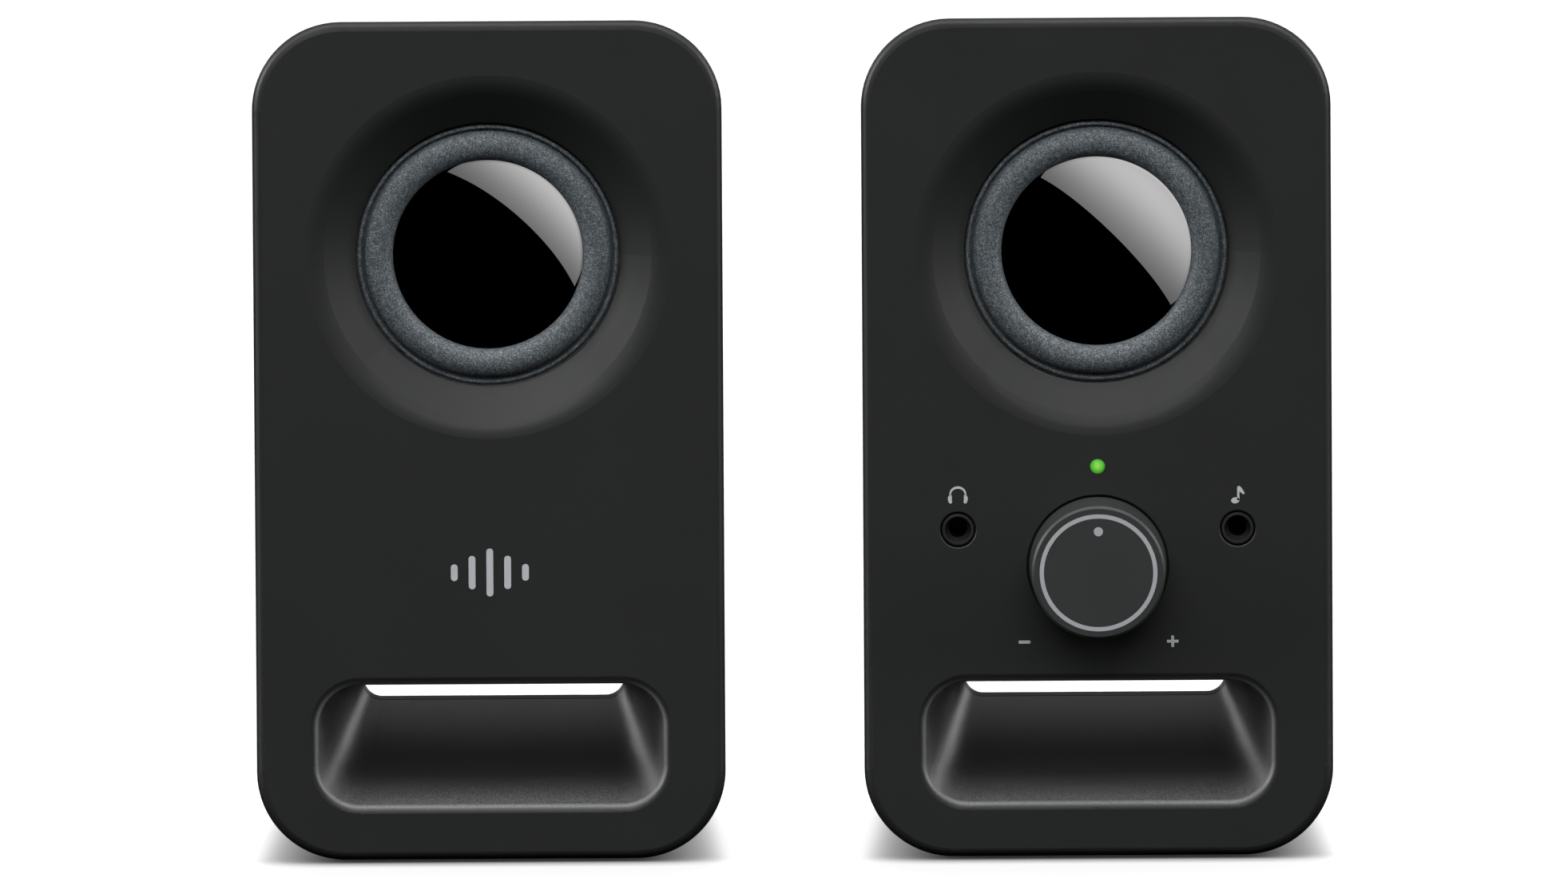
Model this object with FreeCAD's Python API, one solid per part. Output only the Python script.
import FreeCAD, Part
import math
import os

from FreeCAD import Placement, Rotation, Vector

# Pair of compact two-inch desktop speakers: a passive left unit and an amplified right unit.
# Row frame: millimetres, +Z up, the fronts face -Y, the left unit stands at -X as a listener sees it.
# Origin: centre of the pair's bounding box in X and Y, on the surface that the rubber feet stand on.
# Every piece is modelled in its unit's own frame (x from the unit's middle, y from the front face
# backwards, z from the table) and placed at the end.

# ---- cabinet ----
BODY_HALF_W = 44.9          # half width of the front outline
BODY_TOP = 162.0            # top of the front outline above the table
FOOT_H = 0.6                # how far the feet stand proud of the base
BODY_R = 17.0               # corner radius of the front outline
BODY_DEPTH = 78.0           # front face to rear face
REAR_HALF_W = 40.9          # half width of the rear outline
REAR_TOP = 151.0            # top of the rear outline
REAR_R = 15.0               # corner radius of the rear outline
WALL = 2.4                  # wall thickness
FRONT_EDGE_R = 1.7          # rounding of the front edge
REAR_EDGE_R = 5.0           # rounding of the rear edge
PANEL_DEPTH = 10.0          # depth of the front panel's skirt
REVEAL = 0.35               # shadow gap between front panel and rear shell
LIP = 3.0                   # length of the lip that locates the two halves
UNIT_X = 58.08              # each unit's middle is this far from the pair's middle

# ---- through slot under the driver ----
SLOT_HW0, SLOT_HW1 = 33.1, 25.0      # half width at the front and at the rear
SLOT_ZB0, SLOT_ZB1 = 11.0, 22.6      # floor
SLOT_ZT0, SLOT_ZT1 = 34.3, 33.7      # roof
SLOT_R0, SLOT_R1 = 8.0, 3.5          # corner radius
SLOT_WALL = 2.0
SLOT_LIP_R = 1.6                     # rounding of the slot's front edge
SLOT_SEAM = 73.8                     # the front panel's duct ends here

# ---- driver ----
DRV_Z = 116.6               # height of the driver's axis
DISH_R = 33.0               # outer radius of the dish in the front panel
DISH_DEPTH = 4.0
DISH_SOFT_R = 8.0           # rounding of the dish's outer edge
DRV_HOLE_R = 25.3
BAFFLE_BACK = 5.6           # mounting face for the driver, behind the dish
FLANGE_HALF = 28.5
FLANGE_R = 7.0
GASKET_T = 0.6
FLANGE_T = 1.0
DRV_SCREW = 24.0            # driver screws at +-24, +-24 from the axis
DOME_R = 17.8               # visible radius of the diaphragm
DOME_EDGE_Y = 5.0
DOME_H = 4.0
ROLL_HALF_W = 2.85          # half width of the surround's roll
ROLL_H = 2.3
ROLL_MID_R = 20.85

# ---- controls on the right unit ----
KNOB_Z = 56.7
KNOB_BASE_R = 13.1
KNOB_FACE_R = 12.75
KNOB_BACK_Y = 0.6
KNOB_FRONT_Y = -11.5
RECESS_R = 13.5            # round recess in the panel that the knob's skirt turns in
RECESS_Y = 1.2
RING_R0, RING_R1 = 10.4, 11.26      # shallow ring and dot in the knob's face, for the print
DOT_R, DOT_OFF = 0.95, 7.9
PRINT_DEPTH = 0.12
JACK_X = 26.7
JACK_Z = 63.65
JACK_HOLE_R = 3.4
JACK_NOSE_R = 3.15
JACK_MOUTH_R = 2.5
JACK_BORE_R = 1.8           # for a 3.5 mm plug
LED_Z = 75.7
LED_R = 1.45
BOARD_Y = 17.0
BOARD_T = 1.6

# ---- rear sockets ----
SOCKET_Z = 66.0
RCA_R = 4.15               # plain part of the phono shell, which the plug's collar slides over
RCA_THREAD_R = 4.7         # threaded part that the nut holds in the panel
RCA_END_Y = 86.0
REAR_BOARD_Y = 59.0

# ---- case screws ----
CASE_X = 32.4
CASE_Z = (43.5, 140.0)
CASE_JOIN_Y = 40.0
WELL_R = 3.0
WELL_FLOOR_Y = 46.0

# ---- feet ----
FOOT_X = 20.0
FOOT_Y = (17.0, 67.0)
FOOT_R = 5.0

Y_MID = (KNOB_FRONT_Y + RCA_END_Y) / 2.0      # middle of the pair's depth

AX_Y = Vector(0, 1, 0)
os.makedirs("parts", exist_ok=True)


# ------------------------------------------------------------------ helpers
def rrect(y, x0, x1, z0, z1, r):
    """Closed wire of a rounded rectangle in the plane y, always with the same eight edges."""
    k = r * (1.0 - math.sqrt(0.5))
    P = lambda x, z: Vector(x, y, z)
    pts = [P(x0 + r, z0), P(x1 - r, z0), P(x1, z0 + r), P(x1, z1 - r),
           P(x1 - r, z1), P(x0 + r, z1), P(x0, z1 - r), P(x0, z0 + r)]
    mids = [P(x1 - k, z0 + k), P(x1 - k, z1 - k), P(x0 + k, z1 - k), P(x0 + k, z0 + k)]
    edges = []
    for i in range(4):
        a, b, c = pts[2 * i], pts[2 * i + 1], pts[(2 * i + 2) % 8]
        edges.append(Part.LineSegment(a, b).toShape())
        edges.append(Part.Arc(b, mids[i], c).toShape())
    return Part.Wire(edges)


def body_sec(y, inset=0.0):
    t = y / BODY_DEPTH
    hw = BODY_HALF_W + (REAR_HALF_W - BODY_HALF_W) * t - inset
    zt = BODY_TOP + (REAR_TOP - BODY_TOP) * t - inset
    r = max(BODY_R + (REAR_R - BODY_R) * t - inset, 0.5)
    return rrect(y, -hw, hw, FOOT_H + inset, zt, r)


def slot_sec(y, grow=0.0):
    t = y / BODY_DEPTH
    hw = SLOT_HW0 + (SLOT_HW1 - SLOT_HW0) * t + grow
    zb = SLOT_ZB0 + (SLOT_ZB1 - SLOT_ZB0) * t - grow
    zt = SLOT_ZT0 + (SLOT_ZT1 - SLOT_ZT0) * t + grow
    r = SLOT_R0 + (SLOT_R1 - SLOT_R0) * t + grow
    return rrect(y, -hw, hw, zb, zt, r)


def loft(a, b):
    return Part.makeLoft([a, b], True, True)


def body_loft(y0, y1, inset=0.0):
    return loft(body_sec(y0, inset), body_sec(y1, inset))


def slot_loft(y0, y1, grow=0.0):
    return loft(slot_sec(y0, grow), slot_sec(y1, grow))


def box(x0, x1, y0, y1, z0, z1):
    return Part.makeBox(x1 - x0, y1 - y0, z1 - z0, Vector(x0, y0, z0))


def cyl(x, z, r, y0, y1):
    return Part.makeCylinder(r, y1 - y0, Vector(x, y0, z), AX_Y)


def prism(wire, dy):
    return Part.Face(wire).extrude(Vector(0, dy, 0))


def revolve(path, x=0.0, z=0.0):
    """Solid of revolution about the line (x, *, z) along Y. path is (r, y) points; a point given as
    ((r, y), (r, y)) is an arc through the first one to the second."""
    edges, last = [], None
    first = None
    for p in path:
        if isinstance(p[0], tuple):
            m, e = p
            edges.append(Part.Arc(Vector(x + last[0], last[1], z), Vector(x + m[0], m[1], z),
                                  Vector(x + e[0], e[1], z)).toShape())
            last = e
        else:
            if last is None:
                first = p
            else:
                edges.append(Part.LineSegment(Vector(x + last[0], last[1], z),
                                              Vector(x + p[0], p[1], z)).toShape())
            last = p
    if (last[0] - first[0]) ** 2 + (last[1] - first[1]) ** 2 > 1e-12:
        edges.append(Part.LineSegment(Vector(x + last[0], last[1], z),
                                      Vector(x + first[0], first[1], z)).toShape())
    face = Part.Face(Part.Wire(edges))
    return face.revolve(Vector(x, 0, z), AX_Y, 360)


def fuse(*s):
    out = s[0].multiFuse(list(s[1:])) if len(s) > 1 else s[0]
    return out


def fillet(shape, radius, pick):
    edges = [e for e in shape.Edges if pick(e)]
    return shape.makeFillet(radius, edges)


def at_y(e, y, tol=1e-3):
    b = e.BoundBox
    return abs(b.YMin - y) < tol and abs(b.YMax - y) < tol


def one(shape):
    """The single solid in shape, cleaned."""
    s = shape.removeSplitter() if len(shape.Solids) else shape
    sol = s.Solids
    if len(sol) != 1:
        raise RuntimeError("expected one solid, got %d" % len(sol))
    return sol[0]


def phillips(x, z, y, depth, out):
    """Cross recess cutter, in a head whose face is at y; out is +1 or -1, the way the face looks."""
    y0, y1 = sorted((y - out * depth, y + out * 0.2))
    return fuse(box(x - 1.5, x + 1.5, y0, y1, z - 0.32, z + 0.32),
                box(x - 0.32, x + 0.32, y0, y1, z - 1.5, z + 1.5))


def screw(x, z, seat_y, out, head_r, head_h, shank_r, shank_l):
    """Pan-head screw: seat_y is under the head, out the way the head looks."""
    e = seat_y + out * head_h
    y0, y1 = sorted((seat_y, e))
    head = cyl(x, z, head_r, y0, y1)
    head = fillet(head, min(head_r * 0.45, head_h * 0.7), lambda q: at_y(q, e) and q.Length > 3)
    s0, s1 = sorted((seat_y - out * shank_l, seat_y + out * 0.2))
    shank = cyl(x, z, shank_r, s0, s1)
    return one(fuse(head, shank).cut(phillips(x, z, e, head_h * 0.6, out)))


def tube_path(points, radius):
    """Round lead along straight runs joined by tangent arcs, each arc as large as its two runs allow."""
    pts = [Vector(*p) for p in points]
    edges, cur, radii = [], pts[0], []
    for i in range(1, len(pts) - 1):
        a, b, c = pts[i - 1], pts[i], pts[i + 1]
        u, v = (b - a), (c - b)
        lu, lv = u.Length, v.Length
        u.normalize()
        v.normalize()
        turn = math.acos(max(-1, min(1, u.dot(v))))
        t = 0.45 * min(lu, lv)
        r = t / math.tan(turn / 2)
        radii.append(round(r, 1))
        s, e = b - u * t, b + v * t
        n = (v - u)
        n.normalize()
        centre = b + n * (r / math.cos(turn / 2))
        m = centre - n * r
        edges.append(Part.LineSegment(cur, s).toShape())
        edges.append(Part.Arc(s, m, e).toShape())
        cur = e
    edges.append(Part.LineSegment(cur, pts[-1]).toShape())
    wire = Part.Wire(edges)
    d = pts[1] - pts[0]
    d.normalize()
    circ = Part.Wire(Part.Circle(pts[0], d, radius).toShape())
    s = wire.makePipeShell([circ], True, False, 0)
    s = s.Solids[0] if s.Solids else Part.Solid(s)
    ratio = s.Volume / (math.pi * radius ** 2 * wire.Length)
    print("lead: length %.1f mm, radii %s, volume ratio %.4f" % (wire.Length, radii, ratio))
    return s


# ------------------------------------------------------------------ cabinet
def cabinet(side):
    """Front panel and rear shell of one unit."""
    outer = body_loft(0, BODY_DEPTH)
    outer = fillet(outer, FRONT_EDGE_R, lambda e: at_y(e, 0))
    outer = fillet(outer, REAR_EDGE_R, lambda e: at_y(e, BODY_DEPTH))
    inner = body_loft(WALL, BODY_DEPTH - WALL, WALL)
    inner = fillet(inner, REAR_EDGE_R - WALL, lambda e: at_y(e, BODY_DEPTH - WALL))
    big = lambda y0, y1: box(-80, 80, y0, y1, -20, 200)

    # front panel: face, skirt and the lip that enters the rear shell
    front = outer.common(big(-1, PANEL_DEPTH)).cut(inner)
    lip = body_loft(PANEL_DEPTH - 2.0, PANEL_DEPTH + LIP, 1.35).cut(
        body_loft(PANEL_DEPTH - 2.1, PANEL_DEPTH + LIP + 0.1, WALL))
    boss = prism(rrect(1.2, -30.5, 30.5, DRV_Z - 30.5, DRV_Z + 30.5, 9.0), BAFFLE_BACK - 1.2)
    duct = slot_loft(1.0, SLOT_SEAM, SLOT_WALL)
    add = [lip, boss, duct]
    for sx in (-1, 1):
        for z in CASE_Z:
            add.append(cyl(sx * CASE_X, z, 3.4, 1.2, CASE_JOIN_Y))
    if side == "right":
        for sx in (-1, 1):
            for z in (52.8, 79.5):
                add.append(cyl(sx * 31.5, z, 2.6, 1.2, BOARD_Y))
        add.append(cyl(0, KNOB_Z, 8.0, 1.2, 6.2))
    front = fuse(front, *add)
    cut = [slot_loft(-2.0, SLOT_SEAM + 1.0, 0.0)]
    cone = revolve([(0, -1.0), (DISH_R + (DISH_R - DRV_HOLE_R) / DISH_DEPTH, -1.0),
                    (DRV_HOLE_R, DISH_DEPTH), (DRV_HOLE_R, 8.0), (0, 8.0)], 0, DRV_Z)
    cut.append(cone)
    for sx in (-1, 1):
        for z in CASE_Z:
            cut.append(cyl(sx * CASE_X, z, 1.35, 22.0, CASE_JOIN_Y + 1))
        for sz in (-1, 1):
            cut.append(cyl(sx * DRV_SCREW, DRV_Z + sz * DRV_SCREW, 1.25, 1.7, 8.0))
    if side == "right":
        for sx in (-1, 1):
            for z in (52.8, 79.5):
                cut.append(cyl(sx * 31.5, z, 1.15, 8.0, BOARD_Y + 1))
            cut.append(cyl(sx * JACK_X, JACK_Z, JACK_HOLE_R, -1, 3.0))
        cut.append(cyl(0, KNOB_Z, 3.6, -1, 7))
        cut.append(cyl(0, KNOB_Z, RECESS_R, -1, RECESS_Y))
        cut.append(cyl(0, LED_Z, LED_R + 0.05, -1, 3))
    for c in cut:
        front = front.cut(c)
    front = one(front)
    # soft outer edge of the dish, rounded mouth of the slot, small edge break at the driver
    def dish_edge(e):
        c = e.Curve
        return at_y(e, 0) and hasattr(c, "Radius") and abs(c.Radius - DISH_R) < 0.01
    front = fillet(front, DISH_SOFT_R, dish_edge)
    def slot_edge(e):
        b = e.BoundBox
        return at_y(e, 0) and b.ZMax < SLOT_ZT0 + 0.1 and b.ZMin > SLOT_ZB0 - 0.1 and \
            b.XMax < SLOT_HW0 + 0.1 and b.XMin > -SLOT_HW0 - 0.1
    front = fillet(front, SLOT_LIP_R, slot_edge)
    def hole_edge(e):
        c = e.Curve
        return at_y(e, DISH_DEPTH) and hasattr(c, "Radius") and abs(c.Radius - DRV_HOLE_R) < 0.01
    front = fillet(front, 0.4, hole_edge)
    if side == "right":
        def jack_edge(e):
            c = e.Curve
            return at_y(e, 0) and hasattr(c, "Radius") and abs(c.Radius - JACK_HOLE_R) < 0.01
        front = fillet(front, 0.25, jack_edge)
        def recess_rim(e):
            c = e.Curve
            return at_y(e, 0) and hasattr(c, "Radius") and abs(c.Radius - RECESS_R) < 0.01
        front = fillet(front, 0.2, recess_rim)
    front = front.Solids[0]

    # rear shell: tub with a thinned edge over the lip, screw wells, slot collar and foot recesses
    rear = outer.common(big(PANEL_DEPTH + REVEAL, 100)).cut(inner)
    rear = rear.cut(body_loft(PANEL_DEPTH, PANEL_DEPTH + LIP + 0.3, 1.2))
    # small edge break on both sides of the shadow gap
    add, cut = [], []
    for sx in (-1, 1):
        for z in CASE_Z:
            add.append(cyl(sx * CASE_X, z, 4.4, CASE_JOIN_Y, BODY_DEPTH - WALL + 0.4))
            cut.append(cyl(sx * CASE_X, z, WELL_R, WELL_FLOOR_Y, 90))
            cut.append(cyl(sx * CASE_X, z, 1.65, CASE_JOIN_Y - 1, WELL_FLOOR_Y + 1))
        for y in FOOT_Y:
            cut.append(Part.makeCylinder(FOOT_R + 0.1, 0.8, Vector(sx * FOOT_X, y, FOOT_H), Vector(0, 0, 1)))
    add.append(slot_loft(70.0, BODY_DEPTH - WALL + 0.4, SLOT_WALL + 1.6))
    cut.append(slot_loft(69.0, SLOT_SEAM + 0.3, SLOT_WALL + 0.15))
    cut.append(slot_loft(SLOT_SEAM + 0.2, 80.0, 0.0))
    # shallow recess around the sockets
    if side == "right":
        cut.append(prism(rrect(77.0, -27.0, 27.0, SOCKET_Z - 10.5, SOCKET_Z + 10.5, 4.0), 2.0))
        for z, sx in ((SOCKET_Z + 9.6, -1), (SOCKET_Z + 9.6, 1)):
            add.append(cyl(sx * 8.5, SOCKET_Z + 9.6, 2.4, REAR_BOARD_Y + BOARD_T, BODY_DEPTH - WALL + 0.4))
            cut.append(cyl(sx * 8.5, SOCKET_Z + 9.6, 1.15, REAR_BOARD_Y, 70.0))
        cut.append(cyl(-17.0, SOCKET_Z, 5.1, 70, 80))
        cut.append(cyl(0.0, SOCKET_Z, JACK_HOLE_R, 70, 80))
        cut.append(cyl(17.0, SOCKET_Z, RCA_THREAD_R + 0.15, 70, 80))
    else:
        cut.append(prism(rrect(77.0, -10.5, 10.5, SOCKET_Z - 10.5, SOCKET_Z + 10.5, 4.0), 2.0))
        cut.append(cyl(0.0, SOCKET_Z, RCA_THREAD_R + 0.15, 70, 80))
    rear = fuse(rear, *add)
    for c in cut:
        rear = rear.cut(c)
    rear = one(rear)
    def rear_slot_edge(e):
        b = e.BoundBox
        return at_y(e, BODY_DEPTH) and b.ZMax < SLOT_ZT1 + 0.1 and b.ZMin > SLOT_ZB1 - 0.1 and \
            b.XMax < SLOT_HW1 + 0.1 and b.XMin > -SLOT_HW1 - 0.1
    rear = fillet(rear, 1.3, rear_slot_edge)
    def well_edge(e):
        c = e.Curve
        return at_y(e, BODY_DEPTH) and hasattr(c, "Radius") and abs(c.Radius - WELL_R) < 0.01
    rear = fillet(rear, 0.4, well_edge)
    def recess_edge(e):
        b = e.BoundBox
        return at_y(e, BODY_DEPTH) and b.ZMin > SOCKET_Z - 11 and b.ZMax < SOCKET_Z + 11 and b.XMax < 28 and b.XMin > -28
    rear = fillet(rear, 0.5, recess_edge)
    rear = rear.Solids[0]
    return front, rear


def divide(solid, regions, name):
    """One moulding stored as simpler solids that meet face to face, so that its collision pieces leave the
    slot and the socket mouths open. regions are boxes that tile the whole moulding."""
    out = []
    for r in regions:
        for q in solid.common(box(*r)).Solids:
            if q.Volume > 1e-3:
                out.append(q)
    total = sum(q.Volume for q in out)
    if abs(total - solid.Volume) > 5e-4 * solid.Volume:
        raise RuntimeError("%s: the regions hold %.3f of %.3f" % (name, total, solid.Volume))
    print("%s: %d solids, volumes %s" % (name, len(out), sorted(round(q.Volume) for q in out)))
    return out


def divide_front(front):
    t = 6.25                                  # half width of the tile round each jack
    a, b = JACK_X - t, JACK_X + t
    z0, z1 = JACK_Z - t, 71.2                 # the upper cut passes between the recess and the lens
    lo, hi = -60.0, 60.0
    reg = [(lo, hi, -5, 90, z1, 200)]
    for x0, x1 in ((lo, -b), (-a, a), (b, hi)):
        reg.append((x0, x1, -5, 90, z0, z1))
    for x0, x1 in ((-b, -JACK_X), (-JACK_X, -a), (a, JACK_X), (JACK_X, b)):       # each jack's tile, in quarters
        reg += [(x0, x1, -5, 90, z0, JACK_Z), (x0, x1, -5, 90, JACK_Z, z1)]
    for x0, x1 in ((lo, 0), (0, hi)):
        for y0, y1 in ((-5, 5.0), (5.0, 90)):
            reg.append((x0, x1, y0, y1, -10, z0))
    return divide(front, reg, "front panel")


def divide_rear(rear):
    t = 6.3                                   # half width of the square round the line socket
    ys, zm = 68.0, 81.0
    lo, hi = -60.0, 60.0
    z0, z1 = SOCKET_Z - t, SOCKET_Z + t
    reg = [(x0, x1, 0, ys, za, zb) for x0, x1 in ((lo, 0), (0, hi)) for za, zb in ((-10, zm), (zm, 200))]
    reg += [(x0, x1, ys, 90, za, zb) for x0, x1 in ((lo, 0), (0, hi)) for za, zb in ((-10, z0), (z1, 200))]
    reg += [(x0, x1, ys, 90, z0, z1) for x0, x1 in ((lo, -t), (t, hi))]
    reg += [(x0, x1, ys, 90, za, zb) for x0, x1 in ((-t, 0), (0, t)) for za, zb in ((z0, SOCKET_Z), (SOCKET_Z, z1))]
    return divide(rear, reg, "rear shell")


# ------------------------------------------------------------------ driver
def driver(side):
    z = DRV_Z
    fy = BAFFLE_BACK + GASKET_T             # front of the flange
    fb = fy + FLANGE_T
    out = {}
    holes = [(sx * DRV_SCREW, z + sz * DRV_SCREW) for sx in (-1, 1) for sz in (-1, 1)]
    square = lambda y, dy: prism(rrect(y, -FLANGE_HALF, FLANGE_HALF, z - FLANGE_HALF, z + FLANGE_HALF, FLANGE_R), dy)

    gasket = square(BAFFLE_BACK, GASKET_T).cut(cyl(0, z, 25.6, 0, 20))
    for hx, hz in holes:
        gasket = gasket.cut(cyl(hx, hz, 1.4, 0, 20))
    out["driver_gasket"] = one(gasket)

    flange = square(fy, FLANGE_T).cut(cyl(0, z, 24.0, 0, 20))
    for hx, hz in holes:
        flange = flange.cut(cyl(hx, hz, 1.4, 0, 20))
    cup = revolve([(24.0, fb - 0.3), (25.2, fb - 0.3), (25.2, fb), (21.4, 14.2), (18.2, 14.2), (18.2, 18.0),
                   (12.5, 18.0), (12.5, 17.0), (17.2, 17.0), (17.2, 13.2), (20.5, 13.2), (24.0, fb)], 0, z)
    basket = fuse(flange, cup)
    for a in (45, 135):
        w = box(-40, 40, 8.5, 12.4, -7.0, 7.0)
        w.Placement = Placement(Vector(0, 0, z), Rotation(AX_Y, a))
        basket = basket.cut(w)
    out["driver_basket"] = one(basket)

    out["driver_top_plate"] = revolve([(11.0, 18.0), (18.5, 18.0), (18.5, 21.0), (11.0, 21.0)], 0, z)
    out["driver_magnet"] = revolve([(13.0, 21.0), (19.6, 21.0), (20.0, 21.4), (20.0, 27.6), (19.6, 28.0),
                                    (13.0, 28.0)], 0, z)
    out["driver_yoke"] = revolve([(2.0, 18.0), (9.7, 18.0), (9.7, 28.0), (18.5, 28.0), (18.5, 30.2),
                                  (17.7, 31.0), (2.0, 31.0)], 0, z)
    out["driver_screws"] = [screw(hx, hz, fb, 1, 2.4, 1.6, 1.2, 5.2) for hx, hz in holes]

    strip = [box(-7.0, 7.0, 14.2, 15.4, z - 27.0, z - 19.2)]
    for sx in (-1, 1):
        strip.append(box(sx * 4.0 - 1.2, sx * 4.0 + 1.2, 15.4, 15.9, z - 28.5, z - 20.0))
        strip.append(box(sx * 4.0 - 0.6, sx * 4.0 + 0.6, 15.9, 19.0, z - 24.4, z - 24.0))
    tags = [fuse(strip[1], strip[2]), fuse(strip[3], strip[4])]
    out["driver_terminals"] = [strip[0]] + [one(t) for t in tags]

    # surround: outer lip on the flange, half roll, inner lip on the diaphragm's rim
    ri, ro, y0 = ROLL_MID_R - ROLL_HALF_W, ROLL_MID_R + ROLL_HALF_W, 5.0
    top = y0 - ROLL_H
    def roll(grow, n=12):
        pts = []
        for i in range(n + 1):
            a = math.pi * i / n
            pts.append((ROLL_MID_R - (ROLL_HALF_W + grow) * math.cos(a), y0 - (ROLL_H + grow) * math.sin(a)))
        return pts
    # the cross-section is drawn as two splines so that the skin is one smooth surface
    def ring(points_out, points_in, tail):
        e = []
        V = lambda p: Vector(p[0], p[1], z)
        so = Part.BSplineCurve()
        so.interpolate([V(p) for p in points_out])
        si = Part.BSplineCurve()
        si.interpolate([V(p) for p in points_in])
        e.append(so.toShape())
        last = points_out[-1]
        for p in tail + [points_in[0]]:
            e.append(Part.LineSegment(V(last), V(p)).toShape())
            last = p
        e.append(si.toShape())
        e.append(Part.LineSegment(V(points_in[-1]), V(points_out[0])).toShape())
        return Part.Face(Part.Wire(e)).revolve(Vector(0, 0, z), AX_Y, 360)
    skin, under = roll(0.0), roll(-0.55)
    tail = [(24.15, 5.35), (24.3, 5.15), (25.0, 5.15), (25.1, 5.3), (25.1, fy), (24.05, fy), (23.5, 5.6)]
    out["surround"] = ring(skin, under[::-1], tail)

    # spider: corrugated cloth ring between the basket's ledge and the coil former
    n, r0, r1 = 24, 10.35, 16.9
    up, dn = [], []
    for i in range(n + 1):
        r = r0 + (r1 - r0) * i / n
        w = 0.55 * math.sin(2 * math.pi * 3 * i / n)
        up.append((r, 12.75 - w))
        dn.append((r, 13.1 - w))
    poly = up + [(20.3, 12.75), (20.3, 13.15)] + dn[::-1]
    out["spider"] = revolve(poly, 0, z)

    # diaphragm: thin convex dome with a rim that the surround is bonded to
    R = (DOME_R ** 2 + DOME_H ** 2) / (2 * DOME_H)
    apex = DOME_EDGE_Y - DOME_H
    cy = apex + R
    t = 0.5
    arc_pt = lambda rad, r: (r, cy - math.sqrt(rad ** 2 - r ** 2))
    dome = revolve([(0, apex), (arc_pt(R, DOME_R * 0.55), (DOME_R, DOME_EDGE_Y)), (18.9, DOME_EDGE_Y + 0.35),
                    (18.9, DOME_EDGE_Y + 0.85), (arc_pt(R - t, 17.4)),
                    (arc_pt(R - t, 9.0), (0, apex + t))], 0, z)
    former_y = arc_pt(R - t, 10.25)[1] + 0.02
    former = revolve([(10.1, former_y), (10.25, former_y), (10.25, 23.0), (10.1, 23.0)], 0, z)
    winding = revolve([(10.26, 16.5), (10.65, 16.5), (10.65, 22.5), (10.26, 22.5)], 0, z)
    return out, {"dome": dome, "coil_former": former, "coil_winding": winding}


# ------------------------------------------------------------------ small pieces
def jack(x, z, mouth_y, body_y0, body_y1, bore_end, out):
    """3.5 mm jack. out is -1 for a front jack and +1 for a rear one; y values run away from the mouth."""
    s = lambda a, b: tuple(sorted((a, b)))
    b = s(body_y0, body_y1)
    body = box(x - 5.6, x + 5.6, b[0], b[1], z - 5.6, z + 5.6)
    body = body.makeFillet(0.5, [e for e in body.Edges if abs(e.BoundBox.YLength) > 5])
    n = s(mouth_y, body_y0)
    nose = cyl(x, z, JACK_NOSE_R, n[0], n[1])
    nose = fillet(nose, 0.35, lambda e: at_y(e, mouth_y))
    j = fuse(body, nose)
    m = s(mouth_y + out * 1.0, body_y0)
    j = j.cut(cyl(x, z, JACK_MOUTH_R, m[0], m[1]))
    q = s(body_y0 + out * 0.1, bore_end)
    j = j.cut(cyl(x, z, JACK_BORE_R, q[0], q[1]))
    return one(j)


def rca(x, z, tail_y):
    """Panel-mount phono socket looking backwards: metal shell, insulating insert and hexagon nut."""
    shell = revolve([(0, tail_y), (4.6, tail_y), (4.6, 73.4), (5.6, 73.4), (5.6, 75.4), (RCA_THREAD_R, 75.4),
                     (RCA_THREAD_R, 79.0), (RCA_R, 79.0),
                     (RCA_R, 85.6), (RCA_R - 0.4, RCA_END_Y), (3.35, RCA_END_Y), (3.35, 75.6), (0, 75.6)], x, z)
    insert = revolve([(1.6, 77.0), (1.6, 85.3), (3.05, 85.3), (3.3, 85.0), (3.3, 75.65), (0, 75.65), (0, 77.0)], x, z)
    pts = [Vector(x + 6.35 * math.cos(math.radians(60 * i)), 77.0, z + 6.35 * math.sin(math.radians(60 * i)))
           for i in range(7)]
    nut = prism(Part.makePolygon(pts), 1.8)
    nut = nut.cut(cyl(x, z, RCA_THREAD_R + 0.02, 70, 90))
    return one(shell), one(insert), one(nut)


def knob():
    y0, y1 = KNOB_BACK_Y, KNOB_FRONT_Y
    z = KNOB_Z
    body = revolve([(0, y1), (KNOB_FACE_R - 0.45, y1), (KNOB_FACE_R, y1 + 0.45), (KNOB_BASE_R, y0 - 0.25),
                    (KNOB_BASE_R - 0.3, y0), (11.6, y0), (11.2, y1 + 2.2), (0, y1 + 2.2)], 0, z)
    hub = cyl(0, z, 5.2, y1 + 2.0, -3.2)
    ribs = fuse(box(-11.3, 11.3, y1 + 2.0, -5.0, z - 0.6, z + 0.6),
                box(-0.6, 0.6, y1 + 2.0, -5.0, z - 11.3, z + 11.3))
    body = fuse(body, hub, ribs)
    body = body.cut(shaft_cut(0.03, y1 + 2.6, -3.0))
    ring = cyl(0, z, RING_R1, y1 - 1, y1 + PRINT_DEPTH).cut(cyl(0, z, RING_R0, y1 - 2, y1 + 1))
    body = body.cut(ring).cut(cyl(0, z + DOT_OFF, DOT_R, y1 - 1, y1 + PRINT_DEPTH))
    return one(body)


def shaft_cut(grow, y0, y1):
    """D-shaped shaft section between y0 and y1."""
    s = cyl(0, KNOB_Z, 3.0 + grow, y0, y1)
    return s.cut(box(-5, 5, y0 - 1, y1 + 1, KNOB_Z - 5, KNOB_Z - 1.5 - grow))


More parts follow.
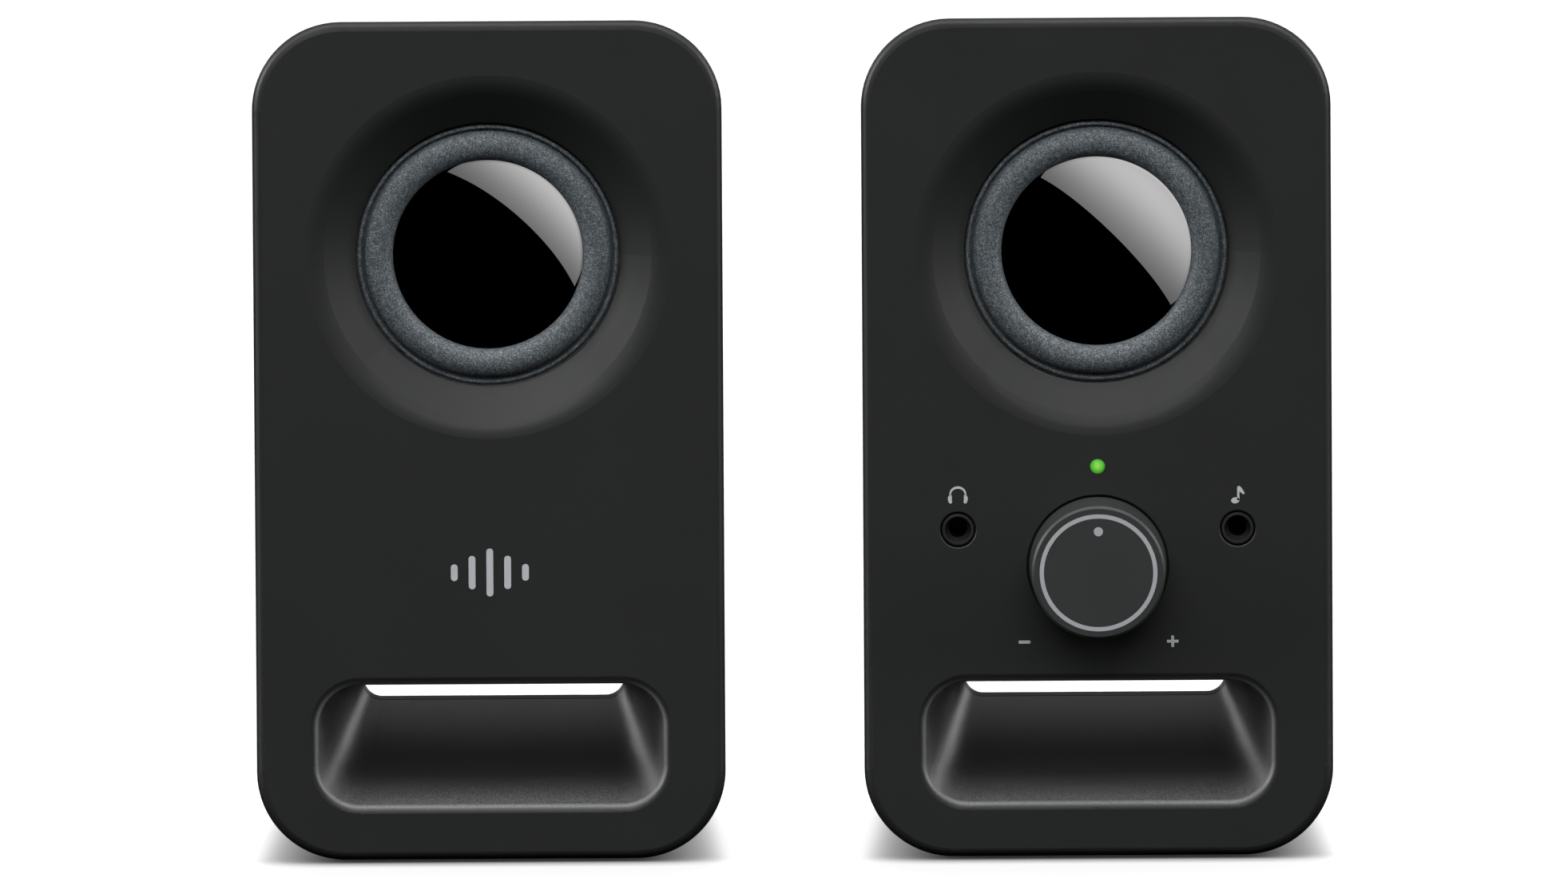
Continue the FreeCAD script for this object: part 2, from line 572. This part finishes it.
def pot():
    z = KNOB_Z
    house = box(-7.0, 7.0, 6.2, BOARD_Y, z - 7.0, z + 6.6)
    house = house.makeFillet(0.6, [e for e in house.Edges if abs(e.BoundBox.YLength) > 5])
    bush = cyl(0, z, 3.5, -1.9, 6.3)
    h = fuse(house, bush)
    h = h.cut(cyl(0, z, 3.05, -3, 7.2))
    h = h.cut(cyl(0, z, 5.6, 7.2, 12.0))
    shaft = fuse(shaft_cut(0.0, KNOB_FRONT_Y + 2.8, -2.2), cyl(0, z, 3.0, -2.2, 7.4), cyl(0, z, 5.3, 7.4, 8.9),
                 cyl(0, z, 1.4, 8.9, 11.6), box(-0.8, 0.8, 8.9, 11.2, z + 1.0, z + 4.6))
    pts = [Vector(5.4 * math.cos(math.radians(60 * i)), RECESS_Y - 1.7, z + 5.4 * math.sin(math.radians(60 * i)))
           for i in range(7)]
    nut = prism(Part.makePolygon(pts), 1.7)
    nut = nut.cut(cyl(0, z, 3.52, -5, 5))
    return one(h), one(shaft), one(nut)


# ------------------------------------------------------------------ assembly
def build(side):
    parts = {}
    front, rear = cabinet(side)
    parts["front_panel"] = divide_front(front) if side == "right" else front
    parts["rear_shell"] = divide_rear(rear) if side == "right" else rear
    feet = []
    for sx in (-1, 1):
        for y in FOOT_Y:
            f = Part.makeCylinder(FOOT_R, FOOT_H + 0.8, Vector(sx * FOOT_X, y, 0), Vector(0, 0, 1))
            f = f.makeFillet(0.3, [e for e in f.Edges if abs(e.BoundBox.ZMax) < 1e-6 and e.Length > 20])
            feet.append(f.Solids[0])
    parts["rubber_feet"] = feet
    parts["case_screws"] = [screw(sx * CASE_X, z, WELL_FLOOR_Y, 1, 2.7, 2.0, 1.3, 21.0)
                            for sx in (-1, 1) for z in CASE_Z]
    drv, cone = driver(side)
    parts.update(drv)
    moving = {"cone": cone}
    extra = {}
    if side == "left":
        shell, insert, nut = rca(0.0, SOCKET_Z, 66.0)
        extra["left_input_socket"] = shell
        extra["left_input_insert"] = insert
        extra["left_input_nut"] = nut
        leads = []
        for sx in (-1, 1):
            leads.append(tube_path([(sx * 4.0, 19.0, 92.4), (sx * 4.0, 28.0, 92.4), (sx * 3.4, 38.0, 85.5),
                                    (sx * 3.0, 46.0, 75.0), (sx * 2.5, 55.0, 66.0), (sx * 2.5, 66.0, 66.0)], 0.65))
        parts["driver_leads"] = leads
    else:
        by, bb = BOARD_Y, BOARD_Y + BOARD_T
        board = box(-35, 35, by, bb, 49.5, 83.0)
        board = board.makeFillet(1.5, [e for e in board.Edges if abs(e.BoundBox.YLength - BOARD_T) < 1e-6
                                       and e.BoundBox.XLength < 1e-6])
        for sx in (-1, 1):
            for z in (52.8, 79.5):
                board = board.cut(cyl(sx * 31.5, z, 1.4, 0, 40))
        extra["amplifier_board"] = one(board)
        extra["board_screws"] = [screw(sx * 31.5, z, bb, 1, 2.2, 1.3, 1.1, 8.0) for sx in (-1, 1) for z in (52.8, 79.5)]
        extra["headphone_jack"] = jack(-JACK_X, JACK_Z, 0.4, 2.9, by, by - 1.0, -1)
        extra["aux_jack"] = jack(JACK_X, JACK_Z, 0.4, 2.9, by, by - 1.0, -1)
        chip = box(-13, -1, bb, bb + 3.2, 60, 72)
        extra["amplifier_chip"] = chip
        base = box(-20, 6, bb + 3.2, bb + 5.2, 56, 76)
        fins = [box(x, x + 1.3, bb + 5.1, bb + 14, 56, 76) for x in (-20, -15.06, -10.12, -5.18, -0.24, 4.7)]
        extra["heat_sink"] = one(fuse(base, *fins))
        caps = []
        for x, z in ((14.5, 57.5), (24.5, 57.5), (19.5, 69.0)):
            c = cyl(x, z, 4.0, bb, bb + 11.5)
            c = fillet(c, 0.6, lambda e: at_y(e, bb + 11.5) and e.Length > 10)
            caps.append(c.Solids[0])
        extra["capacitors"] = caps
        extra["board_headers"] = [box(-5.5, 5.5, bb, bb + 5.0, 77.4, 82.0), box(-33, -24, bb, bb + 5.0, 60.0, 66.0)]
        led = revolve([(0, 8.0), ((1.06, 8.44), (1.5, 9.5)), (1.5, 12.6), (1.9, 12.6), (1.9, 13.4), (0, 13.4)], 0, LED_Z)
        extra["power_led"] = [led] + [cyl(sx * 1.27, LED_Z, 0.28, 13.4, by) for sx in (-1, 1)]
        pipe = revolve([(0, -0.35), ((0.75, -0.26), (LED_R - 0.1, 0.0)), (LED_R - 0.02, 0.15), (LED_R - 0.02, 2.45), (2.3, 2.45),
                        (2.3, 3.5), (LED_R, 3.6), (LED_R, 7.7), (0, 7.7)], 0, LED_Z)
        extra["led_light_pipe"] = pipe
        house, shaft, nut = pot()
        extra["volume_pot_housing"] = house
        extra["volume_pot_nut"] = nut
        moving["knob"] = {"volume_knob": knob(), "volume_pot_shaft": shaft}
        # rear sockets on their own small board
        ry, rb = REAR_BOARD_Y, REAR_BOARD_Y + BOARD_T
        rboard = box(-27.0, 27.0, ry, rb, 57.0, 79.0)
        for sx in (-1, 1):
            rboard = rboard.cut(cyl(sx * 8.5, SOCKET_Z + 9.6, 1.4, 0, 80))
        extra["rear_board"] = one(rboard)
        extra["rear_board_screws"] = [screw(sx * 8.5, SOCKET_Z + 9.6, ry, -1, 2.2, 1.3, 1.1, 8.0) for sx in (-1, 1)]
        dc = fuse(box(-17.0 - 5.5, -17.0 + 5.5, rb, 75.4, SOCKET_Z - 5.5, SOCKET_Z + 5.5), cyl(-17.0, SOCKET_Z, 5.0, 75.4, 77.3))
        dc = dc.cut(cyl(-17.0, SOCKET_Z, 3.1, 67.5, 80))
        def dc_edge(e):
            c = e.Curve
            return at_y(e, 77.3) and hasattr(c, "Radius")
        dc = fillet(one(dc), 0.3, dc_edge)
        extra["dc_inlet"] = dc.Solids[0]
        extra["dc_inlet_pin"] = revolve([(0, 67.5), (1.05, 67.5), (1.05, 75.6), (0.65, 76.2), (0, 76.3)], -17.0, SOCKET_Z)
        extra["line_in_jack"] = jack(0.0, SOCKET_Z, 77.6, 75.2, rb, rb + 1.0, 1)
        shell, insert, rnut = rca(17.0, SOCKET_Z, rb)
        extra["speaker_out_socket"] = shell
        extra["speaker_out_insert"] = insert
        extra["speaker_out_nut"] = rnut
        leads = []
        for sx in (-1, 1):
            leads.append(tube_path([(sx * 4.0, 19.0, 92.4), (sx * 4.0, 27.5, 92.4), (sx * 3.2, 33.5, 86.0),
                                    (sx * 2.5, 31.5, 79.7), (sx * 2.5, 23.6, 79.7)], 0.65))
        parts["driver_leads"] = leads
        wires = []
        for i in range(4):
            z = 61.2 + 1.25 * i
            x = -28.5
            wires.append(tube_path([(x, bb + 5.0, z), (x, 32.0, z), (x + 4.0, 41.0, z + 0.6), (x + 8.5, 50.0, z + 1.2),
                                    (x + 8.5, REAR_BOARD_Y, z + 1.2)], 0.55))
        extra["board_harness"] = wires

    named = {side + "_" + k: v for k, v in parts.items()}
    named.update(extra)
    for k, v in moving["cone"].items():
        named[side + "_" + k] = v
    if "knob" in moving:
        named.update(moving["knob"])
    return named


count = 0
for side, x in (("left", -UNIT_X), ("right", UNIT_X)):
    for name, shape in sorted(build(side).items()):
        solids = shape if isinstance(shape, list) else [shape]
        solids = [s if s.ShapeType == "Solid" else s.Solids[0] for s in solids]
        for s in solids:
            if not s.isValid() or s.Volume <= 0:
                print("BAD", name, s.isValid(), s.Volume)
        moved = []
        for s in solids:
            s = s.copy()
            s.translate(Vector(x, -Y_MID, 0))
            moved.append(s)
        out = moved[0] if len(moved) == 1 else Part.makeCompound(moved)
        out.exportStep("parts/%s.step" % name)
        count += 1
        b = out.BoundBox
        print("%-24s %d solid(s) vol %9.2f  x %.1f..%.1f y %.1f..%.1f z %.1f..%.1f" % (
            name, len(moved), out.Volume, b.XMin, b.XMax, b.YMin, b.YMax, b.ZMin, b.ZMax))
print("nodes", count)
